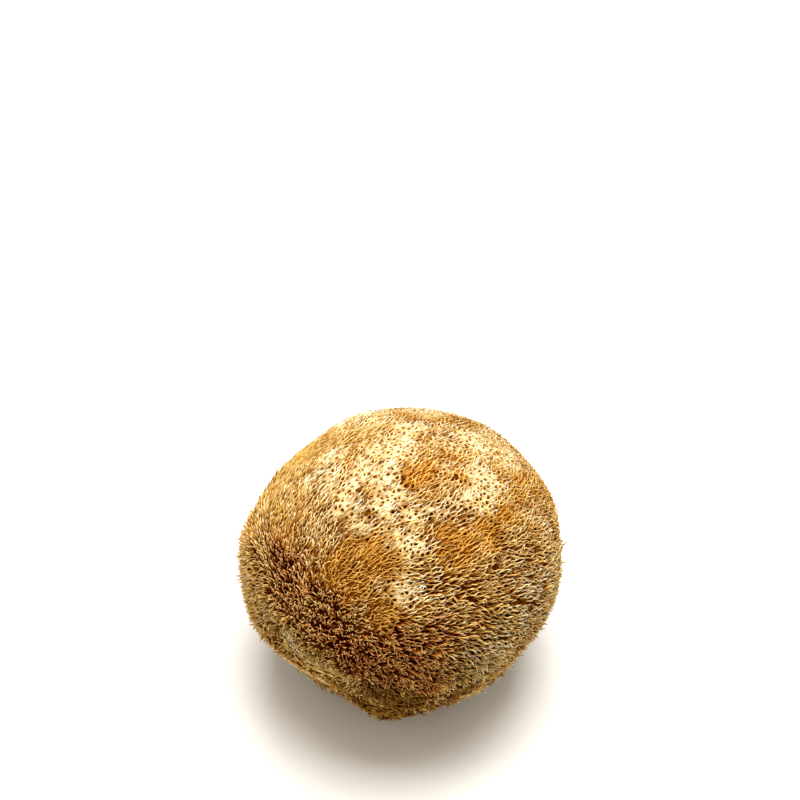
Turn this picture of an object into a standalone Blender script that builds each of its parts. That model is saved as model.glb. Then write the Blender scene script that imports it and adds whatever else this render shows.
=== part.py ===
"""A dried lion's mane mushroom, for Blender 4.5.

One fruiting body: a squat ball of flesh, thick with short leaning spines, that narrows below into a stub
cut off flat where it grew on wood. Units are metres, +Z is up, and the origin is the middle of the flat
cut, on which the mushroom stands. The front, the side with the stub, faces -Y.
"""

import math

import bmesh
import bpy
from mathutils import Vector, noise

MM = 0.001

# The bare flesh, without its spines
BODY_CENTRE = Vector((1.4, 6.9, 30.0)) * MM
HALF_WIDTH = 32.8 * MM
HALF_DEPTH = 32.0 * MM
HALF_HEIGHT = 26.2 * MM
FLAT_CUT_Z = 0.0
CUT_SNAP = 0.05 * MM  # corners this near the cut are taken onto it

# Broad lumps and hollows of the flesh: heading from the front towards +X, rise above the horizon and
# spread, in degrees, then the height of the lump in millimetres
LUMPS = {
    "stub": (-12, -70, 32, 10.1),
    "front_left_hollow": (-31, -36, 17, -5.8),
    "front_right_hollow": (44, -32, 25, -1.6),
    "stub_notch": (18, -41, 12, -1.8),
    "brow": (-20, 12, 16, 0.9),
    "crease": (-8, -22, 12, -0.9),
    "right_shoulder": (120, 22, 30, 1.2),
    "left_shoulder": (-120, 24, 26, -1.6),
    "back_top": (172, 40, 32, 0.8),
    "back_low": (180, -35, 34, 0.5),
}
SWELL_HEIGHT = 0.55 * MM
SWELLS_PER_RADIUS = 3.1

# Spines: each grows from one facet of the flesh
FACETS_PER_EDGE = 12
ICOSAHEDRON_EDGE = 1.107  # radians, which the facets along one edge share
FACET_JITTER = 0.26
JITTER_GRAIN = 108  # cells of noise to one radius of the ball, so that neighbours differ
SPINE_LENGTH = 3.0 * MM
SPINE_LENGTH_SPREAD = 0.3
LENGTH_GRAIN = 900  # cells of noise to a metre
SPINE_LEAN = 0.62
TOUSLE = 0.22
TOUSLE_GRAIN = 700  # cells of noise to a metre
WORN_LENGTH_SHARE = 0.42
STUB_BARE_HEIGHT = 1.2 * MM
STUB_FADE_HEIGHT = 6.0 * MM
LOWEST_TIP = 0.7 * MM
WHORL = (-34, -4)  # heading and rise of the spot from which the spines are combed away
# Spots where the spines are worn short: heading, rise and spread in degrees
WORN_SPOTS = {
    "crown_left": (-100, 70, 25),
    "crown_right": (95, 56, 19),
    "crown_back": (157, 42, 12),
    "brow": (2, 36, 9),
    "low_left": (-40, -14, 17),
}

STRAW_TAN = (0.46, 0.26, 0.09, 1.0)
SEED = Vector((2.3, 7.7, 4.1))
WANDER_GAIN = 1.6


def direction(heading, rise):
    """The unit vector at a heading from the front (-Y) towards +X and a rise above the horizon."""
    heading, rise = math.radians(heading), math.radians(rise)
    return Vector(
        (
            math.sin(heading) * math.cos(rise),
            -math.cos(heading) * math.cos(rise),
            math.sin(rise),
        )
    )


def spot(towards, heading, rise, spread):
    """How far inside a round spot a direction lies: 1 in its middle, fading to 0 around it."""
    angle = towards.angle(direction(heading, rise))
    return math.exp(-((angle / math.radians(spread)) ** 2))


def flesh_point(towards):
    """The point on the bare flesh that lies in this direction from the body's centre."""
    reach = Vector(
        (
            towards.x * HALF_WIDTH,
            towards.y * HALF_DEPTH,
            towards.z * HALF_HEIGHT,
        )
    )
    height = sum(tall * MM * spot(towards, *place) for *place, tall in LUMPS.values())
    height += SWELL_HEIGHT * noise.noise(towards * SWELLS_PER_RADIUS + SEED)
    return BODY_CENTRE + reach + towards * height


def wander(place, scale):
    """A steady pseudo-random vector for a place, each part between about -1 and 1."""
    return Vector([noise.noise(place * scale + SEED * step) for step in (1, 2, 3)]) * WANDER_GAIN


def make_flesh():
    """The bare body: a finely divided ball pushed out to the flesh, cut off flat at the stub."""
    body = bmesh.new()
    bmesh.ops.create_icosphere(body, subdivisions=1, radius=1.0)
    bmesh.ops.subdivide_edges(
        body, edges=body.edges[:], cuts=FACETS_PER_EDGE - 1, use_grid_fill=True
    )
    pitch = ICOSAHEDRON_EDGE / FACETS_PER_EDGE
    for corner in body.verts:
        towards = corner.co.normalized()
        shift = wander(towards, JITTER_GRAIN) * pitch * FACET_JITTER
        corner.co = flesh_point((towards + shift).normalized())
    bmesh.ops.bisect_plane(
        body,
        geom=body.verts[:] + body.edges[:] + body.faces[:],
        dist=CUT_SNAP,
        plane_co=(0, 0, FLAT_CUT_Z),
        plane_no=(0, 0, -1),
        clear_outer=True,
    )
    rim = [edge for edge in body.edges if edge.is_boundary]
    for edge in rim:
        for corner in edge.verts:
            corner.co.z = FLAT_CUT_Z
    cut = bmesh.ops.edgeloop_fill(body, edges=rim)["faces"]
    bmesh.ops.recalc_face_normals(body, faces=body.faces[:])
    return body, cut


def spine_length(place, towards):
    """A spine's length: shorter in the worn spots, and fading out above the bare rim of the cut."""
    worn = min(1.0, sum(spot(towards, *worn_spot) for worn_spot in WORN_SPOTS.values()))
    length = SPINE_LENGTH * (1 - worn * (1 - WORN_LENGTH_SHARE))
    length *= 1 + SPINE_LENGTH_SPREAD * wander(place, LENGTH_GRAIN).x
    low = (place.z - STUB_BARE_HEIGHT) / STUB_FADE_HEIGHT
    return length * max(0.0, min(1.0, low))


def grow_spines(body, cut):
    """Draws one spine out of every facet, leaning away from the whorl."""
    whorl = direction(*WHORL)
    for facet in [f for f in body.faces if f not in cut]:
        place = facet.calc_center_median()
        towards = (place - BODY_CENTRE).normalized()
        length = spine_length(place, towards)
        if length <= 0:
            continue
        away = towards - whorl * towards.dot(whorl)
        lean = away * SPINE_LEAN + wander(place, TOUSLE_GRAIN) * TOUSLE
        growth = (facet.normal + lean).normalized()
        tip = place + growth * length
        tip.z = max(tip.z, LOWEST_TIP)
        bmesh.ops.poke(body, faces=[facet])["verts"][0].co = tip


def add_object(name, body, material):
    """Puts the finished mesh in the scene as one named object."""
    mesh = bpy.data.meshes.new(name)
    bmesh.ops.triangulate(body, faces=body.faces[:])
    bmesh.ops.recalc_face_normals(body, faces=body.faces[:])
    body.to_mesh(mesh)
    body.free()
    mesh.materials.append(material)
    bpy.context.scene.collection.objects.link(bpy.data.objects.new(name, mesh))


def dried_spines():
    """Dry, matt, straw-tan fungus flesh."""
    material = bpy.data.materials.new("dried_spines")
    material.use_nodes = True
    skin = material.node_tree.nodes["Principled BSDF"]
    skin.inputs["Base Color"].default_value = STRAW_TAN
    skin.inputs["Roughness"].default_value = 0.85
    skin.inputs["Metallic"].default_value = 0.0
    return material


def main():
    for thing in list(bpy.data.objects):
        bpy.data.objects.remove(thing, do_unlink=True)
    body, cut = make_flesh()
    grow_spines(body, cut)
    add_object("fruiting_body", body, dried_spines())


main()
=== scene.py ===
import math

import bmesh
import bpy
import numpy as np
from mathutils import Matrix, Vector, kdtree, noise
from mathutils.bvhtree import BVHTree


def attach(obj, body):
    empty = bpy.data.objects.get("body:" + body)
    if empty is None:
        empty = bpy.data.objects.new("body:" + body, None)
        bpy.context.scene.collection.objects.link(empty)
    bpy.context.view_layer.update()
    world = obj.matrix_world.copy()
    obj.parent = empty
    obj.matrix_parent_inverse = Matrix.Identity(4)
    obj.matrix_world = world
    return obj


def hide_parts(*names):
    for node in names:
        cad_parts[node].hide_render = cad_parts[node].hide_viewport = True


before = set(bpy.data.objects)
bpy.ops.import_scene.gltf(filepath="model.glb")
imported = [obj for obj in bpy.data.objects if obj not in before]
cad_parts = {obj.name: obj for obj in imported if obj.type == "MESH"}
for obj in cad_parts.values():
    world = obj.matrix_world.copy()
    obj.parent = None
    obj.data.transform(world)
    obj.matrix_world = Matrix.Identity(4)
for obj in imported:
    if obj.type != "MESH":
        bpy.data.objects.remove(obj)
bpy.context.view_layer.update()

# A dried lion's mane mushroom. Metres, +Z up; the front, the side with the stub, faces -Y.
mm = 0.001
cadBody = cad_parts["fruiting_body"]
rng = np.random.default_rng(23)


def scatter(*size):  # random numbers around 0, none of them past 2
    return rng.normal(size=size).clip(-2, 2)


def between(plain, special, share):
    return plain + (special - plain) * share


def eased(share):
    return share * share * (3 - 2 * share)


def unit(vectors):
    return vectors / (np.linalg.norm(vectors, axis=-1, keepdims=True) + 1e-12)


def readAll(things, name, kind=float):  # one row of three for each thing
    values = np.empty(len(things) * 3, kind)
    things.foreach_get(name, values)
    return values.reshape(-1, 3)


def formOf(mesh):
    form = bmesh.new()
    form.from_mesh(mesh)
    return form


def addObject(name, data):
    thing = bpy.data.objects.new(name, data)
    bpy.context.scene.collection.objects.link(thing)
    return thing


# The camera, as the photograph was taken
shot = {
    "aim": (1.4 * mm, 6.9 * mm, 30.0 * mm),  # the middle of the flesh
    "aimAt": (400.5, 557),    # the pixel that shows it
    "rise": 50,               # degrees above level, from the aim
    "away": 0.3623,
    "lens": 75,
    "sensor": 36,
    "nearest": 0.01,
    "frameWidth": 800,        # pixels
}
middle = Vector(shot["aim"])
focal = shot["frameWidth"] * shot["lens"] / shot["sensor"]
frameMiddle = shot["frameWidth"] / 2
shotRise = math.radians(shot["rise"])
shotTilt = shotRise - math.atan((shot["aimAt"][1] - frameMiddle) / focal)
shotFrom = middle + shot["away"] * Vector((0, -math.cos(shotRise), math.sin(shotRise)))
shotFrom.x -= (shot["aimAt"][0] - frameMiddle) / focal * shot["away"]
shotForward = Vector((0, math.cos(shotTilt), -math.sin(shotTilt)))
shotUp = Vector((0, math.sin(shotTilt), math.cos(shotTilt)))
shotRight = Vector((1, 0, 0))


def setCamera():
    lens = bpy.data.cameras.new("camera")
    lens.lens = shot["lens"]
    lens.sensor_width = shot["sensor"]
    lens.clip_start = shot["nearest"]
    camera = addObject("camera", lens)
    camera.rotation_euler = shotForward.to_track_quat("-Z", "Y").to_euler()
    camera.location = shotFrom
    bpy.context.scene.camera = camera


setCamera()
print("camera set")

# The bare flesh: the CAD body with its coarse spines cut away, filled out to carry the fine ones
flesh = {
    "weld": 0.01 * mm,
    "raised": 1.2 * mm,       # the fine spines stand on flesh filled out this far
    # and this much more around some places: heading from the front towards +X, rise above the horizon
    # and spread in degrees, then millimetres
    "fill": {
        "crown": (0, 90, 48, 0.9),
        "crownFront": (170, 55, 30, 0.5),
        "nub": (-8, -50, 10, -2.0),
        "nubLeft": (-20, -43, 12, -0.5),
        "nubRight": (14, -40, 9, -1.6),
        "nubHollow": (-9, -30, 13, 2.0),
        "frontLeft": (-26, -6, 10, -1.9),
        "leftFront": (-44, 2, 11, -0.8),
        "leftHollow": (-34, -27, 12, 2.6),
        "leftFoot": (-32, -45, 10, -1.0),
        "left": (-75, 3, 12, -0.9),
        "lowLeft": (-47, -25, 15, 0.2),
        "lowRight": (45, -30, 16, 1.2),
        "right": (47, -6, 14, -0.9),
        "backLeft": (-118, 28, 16, 0.7),
        "backRight": (149, 37, 18, 0.7),
        "rightBack": (103, 20, 14, 0.5),
        "back": (-155, 42, 15, 0.7),
    },
    "cutFacing": -0.99,       # a face of the cut looks down at least this squarely
    "bareHeight": 1.2 * mm,   # bare rim above the cut
    "fadeHeight": 5.0 * mm,   # spines and filling fade in above it
    "levels": 2,
}


def fadeIn(height):
    return eased(np.clip((height - flesh["bareHeight"]) / flesh["fadeHeight"], 0, 1))


def outwards(heading, rise):  # degrees from the front towards +X, and above the horizon
    heading, rise = math.radians(heading), math.radians(rise)
    return Vector((math.sin(heading) * math.cos(rise), -math.cos(heading) * math.cos(rise), math.sin(rise)))


def fleshCage():
    body = formOf(cadBody.data)
    bmesh.ops.remove_doubles(body, verts=body.verts[:], dist=flesh["weld"])
    spineTips = [v for v in body.verts if len(v.link_edges) == 3]
    bmesh.ops.dissolve_verts(body, verts=spineTips)
    low = [f for f in body.faces if f.calc_center_median().z < flesh["weld"]]
    bmesh.ops.dissolve_faces(body, faces=[f for f in low if f.normal.z < flesh["cutFacing"]])
    body.normal_update()
    creases = body.edges.layers.float.new("crease_edge")
    for edge in body.edges:
        if all(v.co.z < flesh["weld"] for v in edge.verts):
            edge[creases] = 1.0
    for corner, normal in [(v, v.normal.copy()) for v in body.verts]:
        raised = flesh["raised"]
        towards = corner.co - middle
        for heading, rise, width, extra in flesh["fill"].values():
            away = math.degrees(towards.angle(outwards(heading, rise))) / width
            raised += extra * mm * math.exp(-away * away)
        corner.co += normal * raised * float(fadeIn(corner.co.z))
    mesh = bpy.data.meshes.new("cage")
    body.to_mesh(mesh)
    body.free()
    return mesh


def smoothed(mesh, levels):
    thing = addObject("draft", mesh)
    smooth = thing.modifiers.new("smooth", "SUBSURF")
    smooth.levels = smooth.render_levels = levels
    bpy.context.view_layer.update()
    shaped = bpy.data.meshes.new_from_object(thing.evaluated_get(bpy.context.evaluated_depsgraph_get()))
    bpy.data.objects.remove(thing)
    return shaped


cage = fleshCage()
skin = smoothed(cage, flesh["levels"])
skinForm = formOf(skin)
skinTree = BVHTree.FromBMesh(skinForm)
skinForm.free()
print("flesh skin:", len(skin.polygons), "faces")

wellOutside = 0.2  # metres from the middle


def atPixel(across, down):  # where the flesh shows at a pixel of the photograph, and its normal
    ray = shotForward * focal + shotRight * (across - frameMiddle) - shotUp * (down - frameMiddle)
    ray.normalize()
    place, normal, _, _ = skinTree.ray_cast(shotFrom, ray)
    if place is None:  # just off the outline
        place, normal, _, _ = skinTree.find_nearest(shotFrom + ray * (middle - shotFrom).dot(ray))
    return place, normal


def atHeading(heading, rise):
    out = outwards(heading, rise)
    place, normal, _, _ = skinTree.ray_cast(middle + out * wellOutside, -out)
    return place, normal


def strokeAt(normal, angle):  # the tangent that looks like a stroke at this angle in the photograph
    angle = math.radians(angle)
    stroke = shotRight * math.cos(angle) + shotUp * math.sin(angle)
    stroke -= shotForward * normal.dot(stroke) / normal.dot(shotForward)
    return stroke.normalized()


def slopeAt(normal, angle):  # the tangent at this angle from level, anticlockwise as seen from outside
    level = Vector((0, 0, 1)).cross(normal).normalized()
    steep = normal.cross(level)
    return level * math.cos(math.radians(angle)) + steep * math.sin(math.radians(angle))


# How the spines are combed. Seen ones: pixel, angle at which they point, how far they lie down in degrees
# from upright, and how unruly they are. Hidden ones: heading and rise, angle from level, and the same.
comb = {
    "reach": 6.0 * mm,
    "farPull": 1e-4,          # far from every place, all of them draw a little
    "sureness": 1.2,          # how soon all spines point the same way where the places agree
    "seen": {
        "topEdge": (395, 418, 42, 86, 0.3),
        "topEdgeLeft": (330, 432, 38, 86, 0.3),
        "crownLeft": (320, 465, 47, 86, 0.35),
        "crownFront": (365, 475, 48, 87, 0.4),
        "crownRight": (440, 460, 38, 87, 0.4),
        "crownRightFront": (480, 495, 33, 86, 0.45),
        "rightShoulder": (520, 475, 38, 84, 0.6),
        "leftShoulder": (285, 478, 55, 84, 0.4),
        "leftHigh": (272, 510, 62, 80, 0.5),
        "leftHighInner": (310, 525, 58, 84, 0.4),
        "leftEdgeHigh": (256, 526, 110, 58, 0.9),
        "leftEdge": (245, 556, 235, 45, 0.9),
        "leftPart": (264, 556, 75, 40, 1.1),
        "leftPartLow": (264, 590, 170, 30, 1.2),
        "leftEdgeLow": (252, 604, 215, 50, 0.9),
        "leftMiddle": (290, 548, 60, 60, 1.1),
        "leftLow": (275, 620, 215, 56, 1.15),
        "whorlLeft": (300, 595, 100, 56, 1.2),
        "whorl": (325, 610, 80, 50, 1.3),
        "lowLeft": (290, 650, 210, 78, 1.1),
        "lowLeftEdge": (315, 680, -40, 80, 0.8),
        "crownLow": (350, 512, 50, 84, 0.4),
        "browLeft": (345, 560, 35, 78, 0.6),
        "brow": (390, 560, 28, 82, 0.5),
        "browLow": (385, 605, 14, 74, 0.8),
        "bandLeft": (430, 540, 30, 84, 0.4),
        "band": (490, 525, 29, 84, 0.4),
        "rightHigh": (535, 530, 24, 80, 0.7),
        "rightMiddle": (500, 585, 3, 82, 0.7),
        "rightEdge": (550, 585, -8, 70, 0.9),
        "rightLow": (515, 635, -14, 74, 0.8),
        "rightLowEdge": (535, 640, -30, 66, 0.9),
        "frontMiddle": (435, 605, 8, 80, 0.7),
        "frontLow": (445, 650, 0, 76, 0.9),
        "frontLeft": (375, 640, -15, 64, 1.2),
        "lowRight": (470, 685, -22, 74, 0.9),
        "nub": (400, 690, -20, 72, 1.2),
        "nubLeft": (350, 680, 210, 70, 1.2),
        "nubRight": (440, 700, -40, 74, 1.0),
    },
    "hidden": {
        "backHigh": (180, 45, -90, 82, 0.5),
        "back": (180, 5, -90, 74, 0.7),
        "backLow": (180, -40, -90, 68, 0.9),
        "backRight": (130, 10, -60, 74, 0.7),
        "backRightLow": (125, -35, -70, 68, 0.9),
        "backLeft": (-130, 10, -110, 74, 0.7),
        "backLeftLow": (-130, -35, -95, 68, 0.9),
        "right": (85, -15, -40, 72, 0.8),
        "rightUnder": (75, -45, -70, 68, 0.9),
        "left": (-85, -15, -120, 68, 0.9),
        "leftUnder": (-75, -45, -100, 66, 1.0),
        "frontUnder": (0, -50, -90, 64, 1.0),
        "leftFrontUnder": (-40, -28, -60, 84, 0.8),
    },
}


def combAnchors():  # places, ways, how far down and how unruly
    anchors = []
    for kind, find, turn in (("seen", atPixel, strokeAt), ("hidden", atHeading, slopeAt)):
        for first, second, angle, lie, wild in comb[kind].values():
            place, normal = find(first, second)
            anchors.append((place, turn(normal, angle), lie, wild))
    return [np.array(part, float) for part in zip(*anchors)]


# Patches. Felted ones are where the spines are worn to a flat felt full of pits, and net ones where they
# are short and lie flat every way, around the holes between them; the others are colours, though the
# darkest, on the stub and under the body, are painted shade, and tan is partly painted shade along the top
# rim. Seen ones: pixel, radius in pixels, strength. Hidden ones: heading, rise, radius in millimetres,
# strength.
patches = {
    "felt": {
        "crown": (385, 450, 90, 0.85),
        "crownRight": (480, 475, 60, 0.85),
        "leftHigh": (305, 505, 40, 0.55),
        "leftShoulder": (290, 475, 40, 0.6),
        "rightShoulder": (535, 510, 36, 0.55),
        "brow": (360, 535, 36, 0.6),
        "browMiddle": (408, 548, 21, 0.85),
        "frontSpeck": (402, 595, 17, 0.85),
        "browLeft": (335, 555, 26, 0.5),
        "browLow": (365, 582, 26, 0.5),
        "band": (470, 535, 32, 0.4),
        "lowRight": (520, 600, 40, 0.25),
    },
    "net": {
        "lowLeft": (291, 647, 22, 1.0),
        "lowLeftEdge": (321, 668, 22, 1.0),
        "nub": (388, 711, 24, 0.9),
        "nubRight": (420, 710, 22, 0.9),
    },
    "pale": {
        "crownLeft": (325, 477, 15, 1.0),
        "crownLeftBack": (330, 460, 12, 0.7),
        "crownLeftFront": (347, 499, 15, 0.9),
        "crownLeftEdge": (322, 436, 14, 0.4),
        "crownInner": (363, 475, 16, 1.0),
        "crownMiddle": (395, 452, 21, 1.0),
        "crownMiddleFront": (390, 478, 15, 1.0),
        "crownFront": (391, 501, 18, 1.0),
        "crownBack": (413, 429, 16, 0.9),
        "crownBackRight": (445, 436, 18, 0.8),
        "crownRightBack": (473, 445, 18, 0.9),
        "crownRight": (482, 480, 20, 1.0),
        "crownRightFront": (459, 508, 17, 1.0),
        "crownFarRight": (484, 506, 13, 1.0),
        "browLine": (362, 528, 8, 0.7),
        "leftSpeck": (325, 519, 9, 0.55),
        "leftSpeckLow": (317, 535, 8, 0.5),
        "browMiddle": (408, 547, 14, 0.9),
        "frontSpeck": (401, 595, 13, 1.0),
        "rightSpeck": (527, 505, 10, 0.45),
        "rightEdge": (548, 548, 14, 0.3),
        "lowLeft": (292, 642, 17, 0.55),
        "lowLeftEdge": (318, 659, 12, 0.4),
        "bandTop": (436, 514, 16, 0.7),
        "bandEdge": (424, 552, 14, 0.6),
        "bandFoot": (422, 578, 14, 0.6),
        "crownSpeckRight": (446, 468, 9, 0.5),
        "crownSpeckLeft": (366, 511, 13, 0.7),
        "leftInner": (322, 492, 14, 0.5),
        "leftInnerLow": (338, 540, 10, 0.45),
        "leftEdge": (250, 545, 14, 0.15),
        "rightMiddle": (512, 545, 16, 0.4),
        "rightEdgeHigh": (537, 518, 20, 0.5),
        "rightEdgeMiddle": (546, 575, 22, 0.5),
        "rightLow": (524, 602, 28, 0.85),
        "lowRight": (490, 646, 28, 0.7),
        "rightInner": (500, 572, 18, 0.5),
        "frontMiddle": (440, 600, 16, 0.35),
    },
    "ochre": {
        "crownBlotch": (415, 478, 13, 1.0),
        "crownBlotchRight": (426, 472, 8, 0.9),
        "crownLine": (427, 497, 10, 0.35),
        "crownBack": (440, 455, 13, 0.4),
        "crownSpot": (458, 481, 9, 0.7),
        "crownLeft": (366, 500, 8, 0.55),
        "topEdge": (387, 418, 14, 0.5),
        "rightBlotch": (516, 482, 10, 0.7),
        "rightBlotchLow": (518, 498, 9, 0.7),
        "bandRight": (503, 518, 11, 0.9),
        "band": (482, 533, 15, 1.0),
        "bandMiddle": (460, 547, 15, 0.8),
        "bandLeft": (440, 536, 11, 0.9),
        "bandLow": (437, 560, 14, 0.6),
        "brow": (371, 565, 16, 1.0),
        "browRight": (388, 560, 10, 0.8),
        "browLeft": (345, 552, 15, 0.8),
        "leftBrow": (335, 570, 18, 0.8),
        "leftBrowLow": (355, 587, 18, 0.8),
        "browLow": (382, 611, 13, 0.8),
        "frontMiddle": (418, 572, 12, 0.45),
        "leftHigh": (290, 528, 22, 0.5),
        "leftEdge": (248, 578, 18, 0.55),
        "leftEdgeLow": (257, 612, 15, 0.55),
        "rightLowEdge": (532, 636, 14, 0.5),
        "lowRightEdge": (482, 690, 14, 0.4),
        "lowLeftEdge": (297, 664, 12, 0.5),
        "rimLeft": (295, 462, 22, 0.45),
        "rimTopLeft": (335, 432, 18, 0.35),
    },
    "umber": {
        "leftDarkHigh": (280, 551, 13, 0.9),
        "leftDark": (289, 573, 16, 1.0),
        "leftDarkRight": (309, 586, 14, 0.9),
        "leftDarkLow": (296, 600, 14, 0.5),
        "whorl": (335, 606, 16, 0.65),
        "whorlLow": (326, 625, 15, 0.75),
        "centreLeft": (340, 645, 18, 1.0),
        "centre": (364, 662, 22, 1.0),
        "centreHigh": (390, 645, 18, 1.0),
        "front": (407, 660, 25, 1.0),
        "frontRight": (435, 647, 16, 0.8),
        "frontLow": (390, 680, 21, 1.0),
        "low": (425, 688, 20, 0.9),
        "browUnder": (390, 628, 14, 0.95),
        "frontUnder": (430, 628, 10, 0.6),
        "rightSpot": (462, 578, 9, 0.35),
        "rightSpotLow": (494, 590, 8, 0.35),
        "rightLow": (472, 612, 12, 0.4),
    },
    # painted shade: the stub, the lip above it and the low edges are made darker
    "dusky": {
        "nub": (400, 716, 32, 1.0),
        "nubTop": (400, 700, 26, 0.9),
        "nubLeft": (362, 702, 22, 0.9),
        "nubRight": (440, 702, 22, 0.9),
        "lip": (375, 690, 20, 0.85),
        "lipLeft": (342, 688, 20, 0.9),
        "lipRight": (456, 691, 22, 1.0),
        "lowRightEdge": (488, 682, 16, 0.8),
        "lowLeftEdge": (316, 682, 14, 0.85),
        "lowLeft": (285, 662, 10, 0.5),
        "rightLowEdge": (515, 660, 14, 0.4),
    },
    # partly the spines' own tan, partly painted shade along the top rim, which the lamp behind lights
    # strongly
    "tan": {
        "rimFarLeft": (262, 495, 20, 0.8),
        "rimLeft": (285, 465, 24, 0.9),
        "rimTopLeft": (315, 438, 24, 0.9),
        "rimTop": (350, 420, 22, 0.9),
        "rimTopMiddle": (392, 412, 20, 0.8),
        "rimTopRight": (435, 413, 18, 0.7),
        "rimRight": (478, 425, 16, 0.6),
        "rimFarRight": (520, 455, 18, 0.7),
        "rightShoulder": (545, 492, 18, 0.5),
        "inner": (345, 455, 16, 0.6),
        "innerLeft": (300, 500, 22, 0.5),
        "innerRight": (452, 470, 16, 0.5),
    },
    "olive": {
        "lowLeft": (292, 640, 18, 0.9),
        "lowLeftEdge": (316, 660, 18, 0.9),
        "lowEdge": (340, 680, 14, 0.6),
        "lowRight": (480, 662, 30, 0.9),
        "rightLow": (505, 622, 16, 0.6),
        "rightEdge": (522, 605, 14, 0.4),
    },
}
hiddenPatches = {
    "felt": {
        "backHigh": (175, 45, 14, 0.75),
        "backHighRight": (115, 42, 16, 0.8),
        "backHighLeft": (-130, 42, 14, 0.7),
        "backLeft": (-140, 15, 9, 0.6),
        "right": (95, -8, 7, 0.5),
        "backLow": (160, -25, 9, 0.6),
    },
    "net": {
        "back": (-165, -15, 9, 0.7),
        "frontUnder": (0, -55, 12, 0.8),
        "leftFrontUnder": (-40, -24, 9, 1.0),
        "backRight": (140, -20, 9, 0.6),
    },
    "pale": {
        "backHigh": (165, 38, 9, 0.7),
        "backHighLeft": (-160, 50, 7, 0.6),
        "backHighRight": (118, 40, 8, 0.6),
        "backLeft": (-140, 15, 6, 0.5),
        "right": (95, -8, 5, 0.4),
        "backLow": (160, -25, 6, 0.4),
    },
    "ochre": {
        "back": (175, 15, 12, 0.6),
        "left": (-95, 5, 10, 0.5),
        "right": (110, 20, 9, 0.5),
    },
    "umber": {
        "backLow": (-165, -30, 12, 0.6),
        "leftUnder": (-80, -35, 12, 0.6),
        "frontUnder": (10, -55, 16, 0.8),
    },
    # painted shade under the body
    "dusky": {
        "frontUnder": (0, -60, 16, 1.0),
        "rightUnder": (80, -55, 12, 0.8),
        "leftUnder": (-80, -55, 12, 0.8),
        "backUnder": (180, -58, 12, 0.8),
    },
    # partly the spines' own tan, partly painted shade over the back of the top
    "tan": {
        "backHigh": (180, 30, 26, 0.8),
        "backHighLeft": (-130, 30, 20, 0.8),
        "backHighRight": (130, 30, 20, 0.8),
    },
    "olive": {
        "rightUnder": (80, -40, 16, 0.7),
        "backRight": (140, -20, 14, 0.6),
    },
}
stainsAndShade = ("tan", "olive", "umber", "dusky", "pale", "ochre")  # stains, and painted shade on the stub and under the body; each over those before it
ragged = {                    # how patches fray at their edges
    "share": 0.55,
    "cellsPerMetre": 260,
    "fineShare": 0.42,
    "fineCellsPerMetre": 800,
    "endsAt": 1.5,            # radii from its middle, where a patch's edge is even
    "leastReach": 0.5,        # no edge strays out to more than twice that
    "mixed": (0.2, 0.75),     # a spine takes a stain from some share of it on, between these
    "ochreMixed": (0.36, 0.62),
    "paleFelt": 0.62,         # the flesh is pale from about this share of felt on
    "steep": 3,               # how sharply it does so
}
noiseGain = 1.6               # makes it reach about -1 and 1
noiseSteps = (3.1, 7.7, 5.3)  # from one noise to the next


def wander(places, cellsPerMetre, seed):  # smooth noise for many places
    shift = Vector([seed * step for step in noiseSteps])
    return np.array([noise.noise(Vector(p) * cellsPerMetre + shift) for p in places]) * noiseGain


def raggedness(places):
    broad = ragged["share"] * wander(places, ragged["cellsPerMetre"], 1)
    return broad + ragged["fineShare"] * wander(places, ragged["fineCellsPerMetre"], 2)


def patchSpots(kind):  # each patch's middle, radius and strength
    pixel = shot["away"] / focal
    for table, find, size in ((patches, atPixel, pixel), (hiddenPatches, atHeading, mm)):
        for first, second, radius, strength in table[kind].values():
            yield find(first, second)[0], radius * size, strength


def spread(places, kind, rough):  # how far each place is in a patch of this kind, 0 to 1
    share = np.zeros(len(places))
    for place, radius, strength in patchSpots(kind):
        away = np.linalg.norm(places - np.array(place), axis=1) / radius
        inside = ragged["endsAt"] - away * np.maximum(1 + rough, ragged["leastReach"])
        share = np.maximum(share, strength * eased(np.clip(inside, 0, 1)))
    return share


def sharpened(share, threshold):
    return ((share - threshold) * ragged["steep"] + 0.5).clip(0, 1)


# The flesh itself, with a small round pit in most of its felted cells
pits = {
    "jitter": 0.37 * mm,      # how far the cells' corners stray
    "lowest": 2.5 * mm,       # none in the bare rim
    "fullAt": 0.45,           # share of felt or net from which every cell has one
    "web": 0.05 * mm,         # half the width of the flesh between two pits, at least
    "radii": (0.15 * mm, 0.46 * mm),
    "narrow": 0.62,           # times these where the felt is not pale
    "least": 0.10 * mm,
    "unround": 0.14,
    "drawn": 1.7,             # up to this many times as long along the slant, and as narrow across it
    "slant": 38,              # degrees in the photograph
    "slantJitter": 25,
    "wall": 0.05 * mm,
    "depth": 0.7 * mm,
    "missing": 0.12,
    "rimDeep": 0.15,          # how far down the ramps of the flesh's colours a pit's rim is, which paints a ring of shade around it
    "feltRaised": 0.25 * mm,
}
cords = {                     # in a net the holes are parted by cords along the cells' edges
    "from": 0.4,              # share of net
    "leftOut": 0.35,
    "radius": 0.15 * mm,
    "radiusSpread": 0.2,
    "over": 0.15,             # they run this share past the cell's corners
    "bow": 0.16 * mm,
    "raised": (0.02 * mm, 0.11 * mm),  # at the ends and in the middle
    "spinesKept": 0.5,
}


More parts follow.
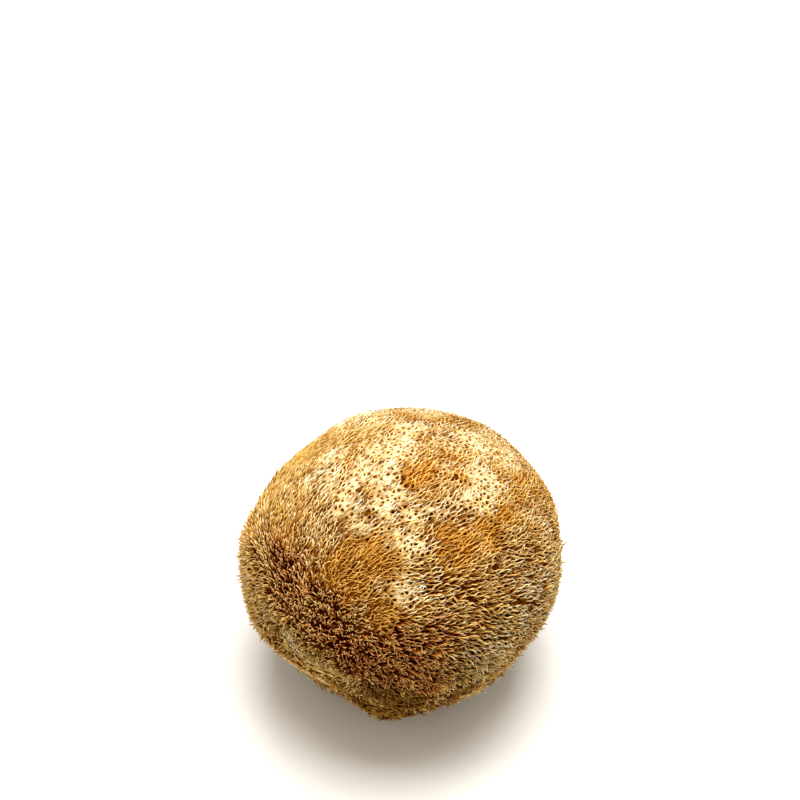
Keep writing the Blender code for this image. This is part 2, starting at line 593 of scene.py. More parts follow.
def unevenFlesh():  # the cage in finer cells whose corners stray, with the felt a little higher
    body = formOf(cage)
    bpy.data.meshes.remove(cage)
    bmesh.ops.subdivide_edges(body, edges=body.edges[:], cuts=1, use_grid_fill=True)
    places = np.array([v.co[:] for v in body.verts])
    felted = spread(places, "felt", raggedness(places))
    stray = scatter(len(places), 3) * pits["jitter"]
    for corner, push, bald in zip(body.verts, stray, felted):
        if corner.co.z > flesh["bareHeight"]:
            push = Vector(push) * float(fadeIn(corner.co.z))
            place, normal, _, _ = skinTree.find_nearest(corner.co + push)
            corner.co = place + normal * pits["feltRaised"] * float(bald)
    body.normal_update()
    return body


def cordedEdges(body):  # their ends, and the normals between them
    pairs = [e.verts for e in body.edges if all(v.co.z > pits["lowest"] for v in e.verts)]
    ends = np.array([[v.co[:] for v in pair] for pair in pairs])
    upright = np.array([(a.normal + b.normal).normalized()[:] for a, b in pairs])
    middles = ends.mean(axis=1)
    corded = spread(middles, "net", raggedness(middles)) > cords["from"]
    return ends[corded], upright[corded]


def pittedCells(body):  # the cells with a pit, the pits' radii and the largest that there is room for
    cells = [f for f in body.faces if len(f.verts) == 3 and f.calc_center_median().z > pits["lowest"]]
    middles = np.array([f.calc_center_median()[:] for f in cells])
    rough = raggedness(middles)
    share = {kind: spread(middles, kind, rough) for kind in ("felt", "net", "pale", "ochre", "umber")}
    worn = np.maximum(share["felt"], share["net"])
    wideness = np.maximum(share["pale"], share["net"])
    covered = np.maximum(share["ochre"], share["umber"]) * (1 - wideness)
    chosen = []
    for cell, bald, wide in zip(cells, worn * (1 - covered), wideness):
        widest = 2 * cell.calc_area() / cell.calc_perimeter() - pits["web"]
        radius = min(rng.uniform(*pits["radii"]) * between(pits["narrow"], 1, wide), widest)
        if radius > pits["least"] and rng.random() < min(1, bald / pits["fullAt"]) - pits["missing"]:
            chosen.append((cell, radius, widest))
    return [list(part) for part in zip(*chosen)]


def roundFloor(floor, radius, widest):  # a cell's middle becomes the drawn-out floor of its pit
    centre = floor.calc_center_median()
    for edge in floor.edges[:]:
        bmesh.utils.edge_split(edge, edge.verts[0], 0.5)
    slant = strokeAt(floor.normal, pits["slant"] + pits["slantJitter"] * rng.normal())
    drawn = rng.uniform(1, pits["drawn"])
    for corner in floor.verts:
        arm = (corner.co - centre).normalized()
        along = arm.dot(slant)
        reach = radius / math.hypot(along / drawn, math.sqrt(max(0, 1 - along * along)) * drawn)
        reach *= 1 + pits["unround"] * rng.uniform(-1, 1)
        corner.co = centre + arm * float(min(reach, widest))
    return centre


def sinkPits(body, floors, radii, limits):  # and gives their middles
    bmesh.ops.inset_individual(body, faces=floors, thickness=pits["web"], use_even_offset=True)
    centres = [roundFloor(*pit) for pit in zip(floors, radii, limits)]
    # painted shade: the flesh's colour darkens from each pit's rim down to its floor
    deep = body.verts.layers.float.new("deep")
    for corner in [v for f in floors for v in f.verts]:
        corner[deep] = pits["rimDeep"]
    bmesh.ops.inset_individual(
        body, faces=floors, thickness=pits["wall"], depth=-pits["depth"], use_even_offset=True
    )
    for corner in [v for f in floors for v in f.verts]:
        corner[deep] = 1.0
    return np.array(centres)


def setShare(mesh, name, values):
    layer = mesh.attributes.new(name, "FLOAT", "POINT")
    layer.data.foreach_set("value", np.asarray(values, np.float32))


def finishedFlesh(body):
    mesh = bpy.data.meshes.new("flesh")
    body.to_mesh(mesh)
    body.free()
    places = readAll(mesh.vertices, "co")
    rough = raggedness(places)
    middling = sum(ragged["mixed"]) / 2
    felted = spread(places, "felt", rough)
    for kind in (*stainsAndShade, "net"):
        share = sharpened(spread(places, kind, rough), middling)
        setShare(mesh, kind, share * sharpened(felted, ragged["paleFelt"]) if kind == "pale" else share)
    setShare(mesh, "felt", felted)
    setShare(mesh, "bare", 1 - fadeIn(places[:, 2]))
    mesh.shade_smooth()
    mesh.calc_loop_triangles()
    return addObject("flesh", mesh)


fleshForm = unevenFlesh()
cordEnds, cordNormals = cordedEdges(fleshForm)
pitFloors, pitRadii, pitLimits = pittedCells(fleshForm)
pitPlaces = sinkPits(fleshForm, pitFloors, pitRadii, pitLimits)
pitRadii = np.array(pitRadii)
fleshPiece = finishedFlesh(fleshForm)
print("flesh:", len(fleshPiece.data.loop_triangles), "triangles,", len(pitPlaces), "pits")

# Where the spines root
rooting = {
    "candidates": 520000,
    "apart": 0.39 * mm,
}


def samplePlaces(count):  # even random places over the flesh, but not on the cut, with their normals
    skin.calc_loop_triangles()
    corners = readAll(skin.vertices, "co")
    normals = readAll(skin.vertices, "normal")
    triangles = readAll(skin.loop_triangles, "vertices", int)
    triangles = triangles[corners[triangles][:, :, 2].min(axis=1) > flesh["bareHeight"]]
    a, b, c = (corners[triangles[:, i]] for i in range(3))
    areas = np.linalg.norm(np.cross(b - a, c - a), axis=1) / 2
    picks = rng.choice(len(triangles), count, p=areas / areas.sum())
    u, v = rng.random(count), rng.random(count)
    over = u + v > 1
    u[over], v[over] = 1 - u[over], 1 - v[over]
    weights = np.stack([1 - u - v, u, v], axis=1)[:, :, None]
    places = (corners[triangles[picks]] * weights).sum(axis=1)
    return places, unit((normals[triangles[picks]] * weights).sum(axis=1))


def placeTree(places):
    tree = kdtree.KDTree(len(places))
    for i, place in enumerate(places):
        tree.insert(place, i)
    tree.balance()
    return tree


def nearestOf(places, points):  # for each point, which of the places is nearest
    tree = placeTree(places)
    return np.array([tree.find(p)[1] for p in points.reshape(-1, 3)]).reshape(points.shape[:-1])


def thinOut(places, apart):  # keeps places in their order, each clear of those kept before it
    tree = placeTree(places)
    free = np.ones(len(places), bool)
    kept = []
    for i in range(len(places)):
        if free[i]:
            kept.append(i)
            for _, j, _ in tree.find_range(places[i], apart):
                free[j] = False
    return np.array(kept)


def marksAt(places):
    rough = raggedness(places)
    marks = {kind: spread(places, kind, rough) for kind in patches}
    for kind in stainsAndShade:  # neighbouring spines differ where a stain or the painted shade fades out
        mixed = ragged["ochreMixed" if kind == "ochre" else "mixed"]
        marks[kind] = sharpened(marks[kind], rng.uniform(*mixed, len(places)))
    return marks


places, normals = samplePlaces(rooting["candidates"])
kept = thinOut(places, rooting["apart"])
roots, normals = places[kept], normals[kept]
marks = marksAt(roots)
print("spine roots:", len(roots))

# How the spines grow
growth = {
    "length": 2.5 * mm,
    "lengthSpread": 0.22,
    "feltLength": 1.6 * mm,
    "radius": 0.127 * mm,
    "radiusSpread": 0.18,
    "feltRadius": 0.14 * mm,
    "boldRadius": 0.155 * mm,  # smoothly combed spines are thicker
    "boldFade": 1.6,          # how steeply that ends towards felt and net
    "boldLess": 0.3,          # share of them that is left out
    "flatness": 0.9,          # height over width of the cross-section
    "feltFlatness": 0.75,
    "sunk": 0.30 * mm,        # how deep the roots start under the flesh
    "flatSunk": 0.12 * mm,    # the same where the spines are felted or in a net
    "stations": (0.0, 0.24, 0.50, 0.79, 1.0),
    "taper": (1.0, 1.0, 1.0, 0.84, 0.0),
    "bentBy": 0.35,           # a spine bends over within this share of its length
    "startLie": 0.45,         # the share of its lie that it has at its root
    "feltStartLie": 0.78,
    "feltLie": 87,
    "mostLie": 92,
    "feltBleachAndLight": 0.55,       # felted spines are as pale as this share of their length from the root on, as they lie on top, out of the painted shade at the roots
    "sideShadeShare": 0.38,       # how pale a spine's sides are against its crest: painted shade down the sides, a painted highlight along the crest
    "feltSideShadeShare": 0.58,
    "combJitter": 9,          # degrees, spine to spine
    "calmJitter": 0.5,        # this many times the jitter where the comb isn't unruly at all
    "combDrift": 16,          # degrees, slowly over the body
    "driftPerMetre": 190,
    "lieJitter": 5,
    "calmLieJitter": 0.4,
    "waveAngle": 26,
    "waves": 0.6,             # along a spine, and up to this many more
    "moreWaves": 0.7,
    "rimLength": 0.25,        # the length share just above the bare rim
    "tangleFrom": 0.8,        # spines are tangled from this unruliness on, and wholly so this much further
    "tangleOver": 0.4,
    "tangleTurn": 50,         # there the spines stray further from the comb, curl and are shorter
    "tangleCurl": 60,
    "tangleLength": 1.75 * mm,
    "netLength": 1.05 * mm,
    "strayShare": 0.07,
    "strayTurn": 35,
    "strayLie": -14,
    "strayLength": 1.25,
    "clumpApart": 1.5 * mm,
    "clumpPull": 0.25,
}
gaps = {                      # how the spines part, around the pits and at more places between them
    "candidates": 70000,
    "apart": 0.64 * mm,
    "sizes": (0.45, 1.35),
    "along": 0.55 * mm,
    "across": 0.20 * mm,
    "feltAlong": 0.48 * mm,
    "feltAcross": 0.10 * mm,
    "pitAlong": 1.7,          # over the pit's radius
    "tangleLess": 0.6,
    "wideFelt": 0.6,          # pits are kept clear where this share of felt or the share of pale
    "wideFrom": 0.3,          # reaches this
    "pitClear": (0.2, 0.5),   # of its radius, by which a spine has to clear them in brown and in pale felt
    "rimWidth": 0.2 * mm,     # within this of a pit the spines are browner, as painted shade around it, this much as pale at its rim
    "rimPale": 0.45,          # this much as pale at its rim
    "half": 0.44 * mm,        # from a gap's middle, past which nothing is moved
}


def combed(roots, normals):  # each spine's way over the skin, how far it lies down and how unruly it is
    strokes = np.zeros((len(roots), 3, 3))
    way = np.zeros((len(roots), 3))
    lie, unruly, total = np.zeros(len(roots)), np.zeros(len(roots)), np.zeros(len(roots))
    for place, direction, down, wild in zip(*combAnchors()):
        near = ((roots - place) ** 2).sum(axis=1) / comb["reach"] ** 2
        weight = np.exp(-near / 2) + comb["farPull"] / (1 + near) ** 2
        strokes += weight[:, None, None] * np.outer(direction, direction)
        way += weight[:, None] * direction
        lie += weight * down
        unruly += weight * wild
        total += weight
    # The stroke is the line that the ways near it share; which end of it the spine points to is a second
    # question, and where the ways near it disagree some spines point to one end and some to the other
    inPlane = np.eye(3) - normals[:, :, None] * normals[:, None, :]
    strokes = inPlane @ strokes @ inPlane
    stroke = np.linalg.eigh(strokes)[1][:, :, 2]
    agreed = (stroke * way).sum(axis=1) / total
    sure = rng.random(len(roots)) < 0.5 + np.abs(agreed) * comb["sureness"]
    stroke = stroke * (np.sign(agreed) * np.where(sure, 1, -1))[:, None]
    stroke -= normals * (stroke * normals).sum(axis=1)[:, None]
    return unit(stroke), lie / total, unruly / total


def centreLines(roots, normals, marks):  # with their ways, the ways across them and how tangled they are
    count = len(roots)
    way, lie, unruly = combed(roots, normals)
    felt = marks["felt"]
    drift = np.radians(growth["combDrift"]) * wander(roots, growth["driftPerMetre"], 3)
    net = marks["net"] * (1 - felt)
    tangle = ((unruly - growth["tangleFrom"]) / growth["tangleOver"]).clip(0, 1) * (1 - felt)
    tangle = np.maximum(tangle, net)
    jitter = growth["combJitter"] * (growth["calmJitter"] + unruly) + growth["tangleTurn"] * tangle
    jitter = np.radians(jitter) * rng.normal(size=count)
    stray = rng.random(count) < growth["strayShare"] * unruly ** 2 * (1 - felt)
    jitter = jitter + np.radians(growth["strayTurn"]) * rng.normal(size=count) * stray
    turn = (drift + jitter)[:, None]
    way = way * np.cos(turn) + np.cross(normals, way) * np.sin(turn)
    across = np.cross(normals, way)
    lie = lie + growth["lieJitter"] * rng.normal(size=count) * (growth["calmLieJitter"] + unruly)
    lie = lie + growth["strayLie"] * stray
    lie = between(lie, growth["feltLie"], np.maximum(felt, net)).clip(0, growth["mostLie"])
    startShare = between(growth["startLie"], growth["feltStartLie"], felt)
    length = between(growth["length"], growth["tangleLength"], tangle)
    length = between(between(length, growth["netLength"], net), growth["feltLength"], felt)
    length = length * (1 + growth["lengthSpread"] * scatter(count))
    length = length * (1 + (growth["strayLength"] - 1) * stray)
    sunk = between(growth["sunk"], growth["flatSunk"], np.maximum(felt, net))
    length = length * between(growth["rimLength"], 1, fadeIn(roots[:, 2])) + sunk
    phase = rng.random(count) * 2 * math.pi
    turns = growth["waves"] + growth["moreWaves"] * rng.random(count)
    curl = np.radians(growth["tangleCurl"]) * tangle * rng.normal(size=count)
    raised = pits["feltRaised"] * felt
    points = [roots + normals * (raised - sunk)[:, None]]
    stations = growth["stations"]
    for start, end in zip(stations[:-1], stations[1:]):
        share = (start + end) / 2
        bent = startShare + (1 - startShare) * min(1, share / growth["bentBy"])
        swing = np.radians(growth["waveAngle"]) * unruly * np.sin(phase + share * turns * 2 * math.pi)
        turn = (swing + curl * (share - 0.5))[:, None]
        flat = way * np.cos(turn) + across * np.sin(turn)
        bend = np.radians(lie * bent)[:, None]
        step = normals * np.cos(bend) + flat * np.sin(bend)
        points.append(points[-1] + step * (length * (end - start))[:, None])
    return np.stack(points, axis=1), way, across, tangle


def clumped(points, roots, felt):  # draws neighbouring spines together towards their tips
    centres = thinOut(roots, growth["clumpApart"])
    member = nearestOf(roots[centres], roots)
    sizes = np.bincount(member, minlength=len(centres))[:, None, None]
    sums = np.zeros((len(centres), points.shape[1], 3))
    np.add.at(sums, member, points)
    towards = (sums / sizes)[member]
    pull = growth["clumpPull"] * (1 - felt)[:, None, None] * np.array(growth["stations"])[None, :, None] ** 2
    return points + (towards - points) * pull


def gapPlaces():  # the middles of the gaps, and half their lengths and widths
    places = np.concatenate([pitPlaces, samplePlaces(gaps["candidates"])[0]])
    kept = thinOut(places, gaps["apart"])
    places = places[kept]
    felt = spread(places, "felt", raggedness(places))
    size = rng.uniform(*gaps["sizes"], len(places))
    along = between(gaps["along"], gaps["feltAlong"], felt) * size
    width = between(gaps["across"], gaps["feltAcross"], felt) * size
    pit = kept < len(pitPlaces)
    width[pit] = pitRadii[kept[pit]]
    along[pit] = width[pit] * gaps["pitAlong"]
    return places, along, width


def parted(points, way, across, radii, tangle):  # leads the spines around the gaps
    middles, lengths, widths = gapPlaces()
    nearest = nearestOf(middles, points)
    offset = points - middles[nearest]
    along = (offset * way[:, None]).sum(axis=2)
    aside = (offset * across[:, None]).sum(axis=2)
    opening = np.sqrt(np.clip(1 - (along / (lengths[nearest] + radii[:, None])) ** 2, 0, 1))
    opening = opening * (widths[nearest] * (1 - gaps["tangleLess"] * tangle[:, None]) + radii[:, None])
    moved = opening + np.abs(aside) * (gaps["half"] - opening) / gaps["half"]
    shift = np.where(np.abs(aside) < gaps["half"], moved - np.abs(aside), 0) * np.sign(aside)
    return points + across[:, None] * shift[:, :, None]


def overPits(points, normals, near):  # whether any part of a spine comes this near to a pit
    middles = (points[:, 1:] + points[:, :-1]) / 2
    samples = np.concatenate([points[:, 1:], middles], axis=1)
    nearest = nearestOf(pitPlaces, samples)
    offset = samples - pitPlaces[nearest]
    offset -= normals[:, None] * (offset * normals[:, None]).sum(axis=2)[:, :, None]
    return (np.linalg.norm(offset, axis=2) < pitRadii[nearest] + near[:, None]).any(axis=1)


def grownSpines(roots, normals, marks):  # marks, roots, centre lines, ways across and radii of those kept
    count = len(roots)
    worn = np.maximum(marks["felt"], marks["net"])
    radii = between(growth["radius"], growth["feltRadius"], worn)
    radii = radii * (1 + growth["radiusSpread"] * scatter(count))
    lines, way, across, tangle = centreLines(roots, normals, marks)
    bold = (1 - growth["boldFade"] * worn).clip(0, 1) * (1 - tangle)
    radii = radii * between(1, growth["boldRadius"] / growth["radius"], bold)
    lines = clumped(lines, roots, marks["felt"])
    lines = parted(lines, way, across, radii, tangle * (1 - marks["net"]))
    pale = np.maximum(marks["pale"], marks["net"])
    wide = np.maximum(pale, marks["felt"] * gaps["wideFelt"]) > gaps["wideFrom"]
    kept = ~(overPits(lines, normals, radii * between(*gaps["pitClear"], pale)) & wide)
    kept &= rng.random(count) > growth["boldLess"] * bold
    kept &= (marks["net"] < cords["from"]) | (rng.random(count) < cords["spinesKept"])
    marks = {kind: share[kept] for kind, share in marks.items()}
    return marks, roots[kept], lines[kept], across[kept], radii[kept]


def netCords():  # the same of the cords, with their middles for roots
    kept = rng.random(len(cordEnds)) > cords["leftOut"]
    ends, upright = cordEnds[kept], cordNormals[kept]
    turned = rng.random(len(ends)) < 0.5
    ends[turned] = ends[turned][:, ::-1]
    span = ends[:, 1] - ends[:, 0]
    across = unit(np.cross(upright, span))
    stations = np.array(growth["stations"])[None, :, None]
    bow = np.sin(stations * math.pi)
    points = ends[:, :1] + span[:, None] * (stations * (1 + 2 * cords["over"]) - cords["over"])
    points = points + across[:, None] * bow * (cords["bow"] * rng.normal(size=len(ends)))[:, None, None]
    points = points + upright[:, None] * between(*cords["raised"], bow)
    girth = cords["radius"] * (1 + cords["radiusSpread"] * scatter(len(ends)))
    middles = ends.mean(axis=1)
    return marksAt(middles), middles, points, across, girth


def rimShares(points):  # how pale the spines are for the pits near them: painted shade around each pit
    nearest = nearestOf(pitPlaces, points)
    away = np.linalg.norm(points - pitPlaces[nearest], axis=2) - pitRadii[nearest]
    return between(gaps["rimPale"], 1, (away / gaps["rimWidth"]).clip(0, 1))


spineMarks, *spineForm = grownSpines(roots, normals, marks)
cordMarks, *cordForm = netCords()
roots, lines, across, radii = (np.concatenate(pair) for pair in zip(spineForm, cordForm))
marks = {kind: np.concatenate([spineMarks[kind], cordMarks[kind]]) for kind in patches}
# painted shade on the spines around the pits, none on the cords
pitShade = np.where(marks["net"][:, None] > cords["from"], 1, rimShares(lines))
print("spines and cords:", len(roots))

# The spines' and cords' meshes, split by the side of the body that they grow on, to keep each piece light
split = {
    "crownRise": 36,          # degrees, as seen from the middle of the flesh
    "flankFrom": 45,
    "backFrom": 135,
}
toning = {                    # some spines are lighter and some darker
    "middle": 0.5,
    "mottle": ((330, 5, 0.5), (900, 6, 0.35)),  # cells per metre, which noise, share
    "mottleShare": 0.28,
    "jitterShare": 0.27,
}


def straightSpine():  # one spine along +Z: a three-sided rod in rings, with a point; z counts the rings
    rod = bmesh.new()
    bmesh.ops.create_circle(rod, cap_ends=True, segments=3, radius=1.0)
    top = rod.faces[:]
    for ring in range(1, len(growth["stations"])):
        raised = bmesh.ops.extrude_face_region(rod, geom=top)["geom"]
        if ring > 1:
            bmesh.ops.delete(rod, geom=top, context="FACES_ONLY")
        top = [g for g in raised if isinstance(g, bmesh.types.BMFace)]
        bmesh.ops.translate(rod, verts=top[0].verts[:], vec=(0, 0, 1))
    bmesh.ops.pointmerge(rod, verts=top[0].verts[:], merge_co=(0, 0, len(growth["stations"]) - 1))
    bmesh.ops.recalc_face_normals(rod, faces=rod.faces[:])
    rod.verts.index_update()
    corners = np.array([v.co[:] for v in rod.verts])
    faces = [[v.index for v in f.verts] for f in rod.faces]
    rod.free()
    return corners, faces


spineCorners, spineFaces = straightSpine()
spineRings = spineCorners[:, 2].round().astype(int)


def laidSpines(chosen):  # the corners of the straight spine laid along each of these centre lines
    line = lines[chosen]
    direction = unit(np.gradient(line, axis=1))
    side = across[chosen][:, None, :]
    side = unit(side - direction * (direction * side).sum(axis=2)[:, :, None])
    over = np.cross(direction, side)
    girth = radii[chosen][:, None] * np.array(growth["taper"])[spineRings][None, :]
    squash = between(growth["flatness"], growth["feltFlatness"], marks["felt"][chosen])[:, None]
    place = line[:, spineRings]
    place = place + side[:, spineRings] * (spineCorners[:, 0] * girth)[:, :, None]
    return place + over[:, spineRings] * (spineCorners[:, 1] * girth * squash)[:, :, None]


def joinedMesh(name, places):  # one mesh of many spines
    count, perSpine = places.shape[:2]
    mesh = bpy.data.meshes.new(name)
    mesh.vertices.add(count * perSpine)
    mesh.vertices.foreach_set("co", places.reshape(-1).astype(np.float32))
    sizes = np.array([len(f) for f in spineFaces])
    loops = np.concatenate([np.array(f) for f in spineFaces])
    starts = np.concatenate([[0], np.cumsum(sizes)[:-1]])
    every = np.arange(count)[:, None]
    loopCorners = loops[None, :] + every * perSpine
    mesh.loops.add(loopCorners.size)
    mesh.loops.foreach_set("vertex_index", loopCorners.reshape(-1).astype(np.int32))
    loopStarts = starts[None, :] + every * len(loops)
    mesh.polygons.add(loopStarts.size)
    mesh.polygons.foreach_set("loop_start", loopStarts.reshape(-1).astype(np.int32))
    mesh.update(calc_edges=True)
    mesh.shade_smooth()
    mesh.calc_loop_triangles()
    return mesh


def bleachAndLightShares(chosen):  # how pale each corner is: paler towards the tip, partly the spine's own colour and partly painted shade low among the other spines; a painted highlight along the crest over painted shade on the sides; and painted shade near the pits
    along = np.array(growth["stations"])[spineRings]
    felt = marks["felt"][chosen][:, None]
    flat = np.maximum(felt, marks["net"][chosen][:, None])
    low, high = spineCorners[:, 1].min(), spineCorners[:, 1].max()
    # painted highlight along the rod's top corner, painted shade towards its two lower ones
    crest = np.maximum((spineCorners[:, 1] - low) / (high - low), along ** 3)
    sides = between(growth["sideShadeShare"], growth["feltSideShadeShare"], felt)
    bleachAndLight = between(along[None, :], 1, growth["feltBleachAndLight"] * flat)
    return bleachAndLight * between(sides, 1, crest[None, :]) * pitShade[chosen][:, spineRings]


def spinePiece(name, chosen):
    mesh = joinedMesh(name, laidSpines(chosen))
    setShare(mesh, "bleachAndLight", bleachAndLightShares(chosen).reshape(-1))
    setShare(mesh, "tone", np.repeat(tones[chosen], len(spineCorners)))
    for kind in stainsAndShade:
        setShare(mesh, kind, np.repeat(marks[kind][chosen], len(spineCorners)))
    return addObject(name, mesh)


mottle = sum(wander(roots, cells, seed) * share for cells, seed, share in toning["mottle"])
jitter = rng.normal(size=len(roots))
tones = toning["middle"] + toning["mottleShare"] * mottle + toning["jitterShare"] * jitter
tones = tones.clip(0, 1)

outFromMiddle = roots - np.array(middle)
headingOf = np.degrees(np.arctan2(outFromMiddle[:, 0], -outFromMiddle[:, 1]))
riseOf = np.degrees(np.arcsin(outFromMiddle[:, 2] / np.linalg.norm(outFromMiddle, axis=1)))
crown = riseOf > split["crownRise"]
front = ~crown & (np.abs(headingOf) <= split["flankFrom"])
back = ~crown & (np.abs(headingOf) > split["backFrom"])
flank = ~(crown | front | back)
sides = {
    "spines_crown": crown,
    "spines_front": front,
    "spines_right": flank & (headingOf > 0),
    "spines_left": flank & (headingOf < 0),
    "spines_back": back,
}
spinePieces = []
for name, chosen in sides.items():
    piece = spinePiece(name, np.flatnonzero(chosen))
    print(name, int(chosen.sum()), "spines", len(piece.data.loop_triangles), "triangles")
    spinePieces.append(piece)

# The colours of the strands and of the flesh: the plain ones, and those of the stains and of the painted
# shade low on the body that go over them
strandColours = {             # how pale a strand is at a place, from 0 to 1: colour; the darkest end, deep at the roots and down the sides, is painted shade, the light end partly the strands' own paleness and partly painted highlight on the crest
    "plain": {0: (0.06, 0.007, 0), 0.25: (0.25, 0.062, 0.002), 0.5: (0.61, 0.36, 0.066), 1: (1, 0.87, 0.54)},
    "tan": {
        0: (0.09, 0.015, 0), 0.25: (0.25, 0.085, 0.006), 0.5: (0.45, 0.235, 0.036),
        1: (0.73, 0.54, 0.22),
    },
    "olive": {
        0: (0.03, 0.006, 0), 0.25: (0.07, 0.02, 0), 0.5: (0.35, 0.205, 0.03), 0.75: (0.7, 0.5, 0.13),
        1: (1, 0.9, 0.48),
    },
    "umber": {
        0: (0.04, 0.003, 0), 0.25: (0.14, 0.015, 0), 0.5: (0.43, 0.15, 0.02), 0.75: (0.76, 0.42, 0.14),
        1: (1, 0.79, 0.5),
    },
    "ochre": {0: (0.13, 0.018, 0), 0.3: (0.46, 0.18, 0.011), 0.6: (0.62, 0.32, 0.045), 1: (0.84, 0.56, 0.19)},
    # the painted shade on the stub and under the body
    "dusky": {0: (0.02, 0.003, 0), 0.3: (0.08, 0.022, 0), 0.6: (0.26, 0.12, 0.01), 1: (0.6, 0.39, 0.095)},
    "pale": {
        0: (0.14, 0.036, 0.001), 0.25: (0.4, 0.18, 0.02), 0.5: (0.66, 0.46, 0.15),
        0.72: (0.84, 0.77, 0.54), 0.9: (0.9, 0.9, 0.81),
    },
}
fleshColours = {              # how deep in a pit, from 0 to 1: colour; all grow darker down a pit as painted shade, with a painted brown ring of shade at its rim, and the flesh that shows only down between close spines is painted near black, as shade
    "plain": {0: (0.06, 0.008, 0), 1: (0.02, 0.002, 0)},
    "felt": {0: (0.32, 0.125, 0.012), 0.15: (0.2, 0.06, 0.004), 0.5: (0.06, 0.012, 0), 1: (0.02, 0.002, 0)},
    "net": {
        0: (0.13, 0.07, 0.008), 0.06: (0.11, 0.05, 0.005), 0.15: (0.07, 0.025, 0.001),
        0.4: (0.04, 0.01, 0), 1: (0.015, 0.002, 0),
    },
    "tan": {0: (0.24, 0.09, 0.008), 0.5: (0.05, 0.008, 0), 1: (0.02, 0.002, 0)},
    "olive": {0: (0.025, 0.006, 0), 1: (0.01, 0.002, 0)},
    "umber": {0: (0.02, 0.002, 0), 1: (0.01, 0.001, 0)},
    "ochre": {0: (0.15, 0.04, 0.002), 0.5: (0.05, 0.008, 0), 1: (0.02, 0.002, 0)},
    # the painted shade on the stub and under the body
    "dusky": {0: (0.025, 0.007, 0), 1: (0.01, 0.002, 0)},
    "pale": {
        0: (0.84, 0.74, 0.46), 0.06: (0.72, 0.56, 0.26), 0.15: (0.4, 0.19, 0.032),
        0.4: (0.16, 0.052, 0.003), 1: (0.05, 0.012, 0),
    },
}
fleshOrder = ("felt", "tan", "olive", "umber", "pale", "ochre", "net", "dusky")  # each over those before it
strandFinish = {
    "roughness": 0.7,
    "shine": 0.06,
    "tone": {0: (0.54, 0.39, 0.22), 0.5: (0.98, 0.95, 0.91), 1: (1.22, 1.25, 1.28)},
    "grain": {0.3: (0.82, 0.78, 0.7), 0.7: (1.08, 1.08, 1.08)},
    "grainScale": 1400,
    "grainDetail": 3,
}
fleshFinish = {
    "roughness": 0.9,
    "shine": 0,
    "bare": {0.3: (0.22, 0.11, 0.035), 0.7: (0.46, 0.29, 0.12)},
    "grain": {0.3: (0.8, 0.7, 0.55), 0.7: (1.06, 1.06, 1.06)},
    "grainScale": 900,
    "grainDetail": 5,
}


def newMaterial(name, finish):
    material = bpy.data.materials.new(name)
    material.use_nodes = True
    shader = material.node_tree.nodes["Principled BSDF"]
    shader.inputs["Roughness"].default_value = finish["roughness"]
    shader.inputs["Specular IOR Level"].default_value = finish["shine"]
    return material, material.node_tree.nodes, material.node_tree.links, shader


def shareOf(nodes, name):
    node = nodes.new("ShaderNodeAttribute")
    node.attribute_name = name
    return node.outputs["Fac"]


def rampOf(nodes, links, factor, stops):
    ramp = nodes.new("ShaderNodeValToRGB")
    elements = ramp.color_ramp.elements
    elements.remove(elements[1])
    for i, (position, colour) in enumerate(stops.items()):
        element = elements[0] if i == 0 else elements.new(position)
        element.position = position
        element.color = (*colour, 1)
    links.new(factor, ramp.inputs["Fac"])
    return ramp.outputs["Color"]


def mixOf(nodes, links, first, second, share=None, way="MIX"):
    mix = nodes.new("ShaderNodeMix")
    mix.data_type = "RGBA"
    mix.blend_type = way
    mix.inputs[0].default_value = 1
    if share is not None:
        links.new(share, mix.inputs[0])
    links.new(first, mix.inputs[6])  # the node's colour sockets come after its others
    links.new(second, mix.inputs[7])
    return mix.outputs[2]


def noiseOf(nodes, links, finish):
    grain = nodes.new("ShaderNodeTexNoise")
    grain.inputs["Scale"].default_value = finish["grainScale"]
    grain.inputs["Detail"].default_value = finish["grainDetail"]
    links.new(nodes.new("ShaderNodeTexCoord").outputs["Object"], grain.inputs["Vector"])
    return grain.outputs["Fac"]


def stainedAndShaded(nodes, links, along, table, kinds):
    colour = rampOf(nodes, links, along, table["plain"])
    for kind in kinds:
        colour = mixOf(nodes, links, colour, rampOf(nodes, links, along, table[kind]), shareOf(nodes, kind))
    return colour


def strandMaterial():
    material, nodes, links, shader = newMaterial("driedSpines", strandFinish)
    colour = stainedAndShaded(nodes, links, shareOf(nodes, "bleachAndLight"), strandColours, stainsAndShade)
    tone = rampOf(nodes, links, shareOf(nodes, "tone"), strandFinish["tone"])
    colour = mixOf(nodes, links, colour, tone, way="MULTIPLY")
    grain = rampOf(nodes, links, noiseOf(nodes, links, strandFinish), strandFinish["grain"])
    colour = mixOf(nodes, links, colour, grain, way="MULTIPLY")
    links.new(colour, shader.inputs["Base Color"])
    return material


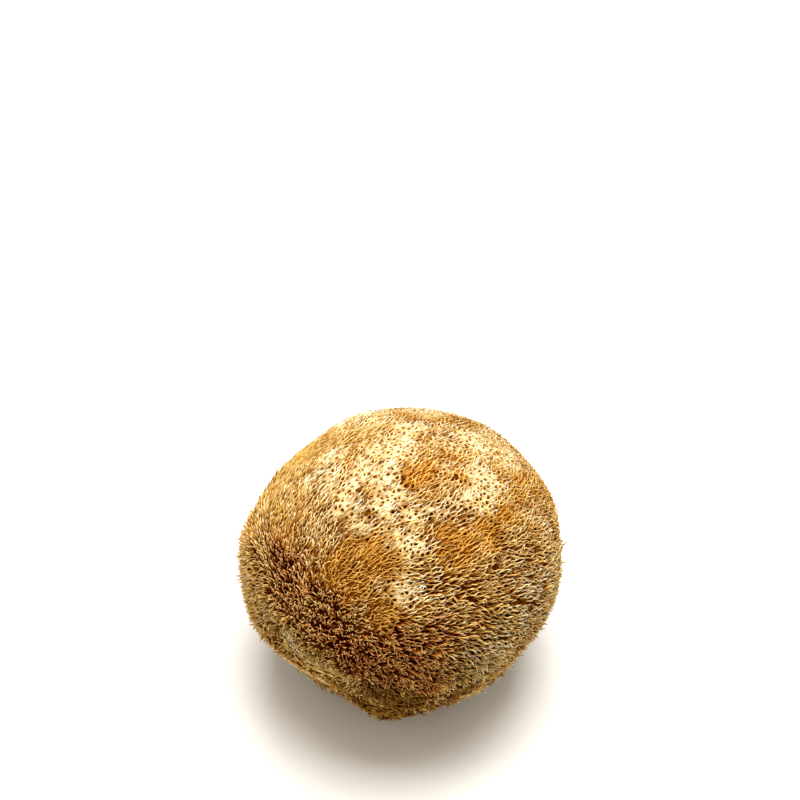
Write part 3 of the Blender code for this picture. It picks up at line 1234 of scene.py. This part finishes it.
def fleshMaterial():
    material, nodes, links, shader = newMaterial("driedFlesh", fleshFinish)
    colour = stainedAndShaded(nodes, links, shareOf(nodes, "deep"), fleshColours, fleshOrder)
    noises = noiseOf(nodes, links, fleshFinish)
    bare = rampOf(nodes, links, noises, fleshFinish["bare"])
    colour = mixOf(nodes, links, colour, bare, shareOf(nodes, "bare"))
    grain = rampOf(nodes, links, noises, fleshFinish["grain"])
    colour = mixOf(nodes, links, colour, grain, way="MULTIPLY")
    links.new(colour, shader.inputs["Base Color"])
    return material


strands = strandMaterial()
for piece in spinePieces:
    piece.data.materials.append(strands)
    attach(piece, "root")

fleshPiece.data.materials.append(fleshMaterial())
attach(fleshPiece, "root")
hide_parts("fruiting_body")
print("materials set")

# Floor and light
studio = {
    "floorSize": 1.5,
    "floorColour": (0.77, 0.757, 0.732),
    "floorFinish": {"roughness": 0.6, "shine": 0.5},
    "skyColour": (1, 0.925, 0.79),
    "skyStrength": 0.76,
    "lampPower": 7.1,
    "lampSize": 0.45,
    "lampPlace": (0.03, 0.14, 0.62),
}


def setFloor():
    slab = bmesh.new()
    bmesh.ops.create_grid(slab, x_segments=2, y_segments=2, size=studio["floorSize"])
    mesh = bpy.data.meshes.new("floor")
    slab.to_mesh(mesh)
    slab.free()
    material, _, _, shader = newMaterial("paleFloor", studio["floorFinish"])
    shader.inputs["Base Color"].default_value = (*studio["floorColour"], 1)
    mesh.materials.append(material)
    addObject("floor", mesh)


def setLight():
    world = bpy.data.worlds.new("studio")
    world.use_nodes = True
    sky = world.node_tree.nodes["Background"]
    sky.inputs["Color"].default_value = (*studio["skyColour"], 1)
    sky.inputs["Strength"].default_value = studio["skyStrength"]
    bpy.context.scene.world = world
    lamp = bpy.data.lights.new("softbox", "AREA")
    lamp.energy = studio["lampPower"]
    lamp.size = studio["lampSize"]
    softbox = addObject("softbox", lamp)
    softbox.location = studio["lampPlace"]
    softbox.rotation_euler = (middle - softbox.location).to_track_quat("-Z", "Y").to_euler()
    bpy.context.scene.view_settings.view_transform = "Standard"


setFloor()
setLight()
print("studio set")
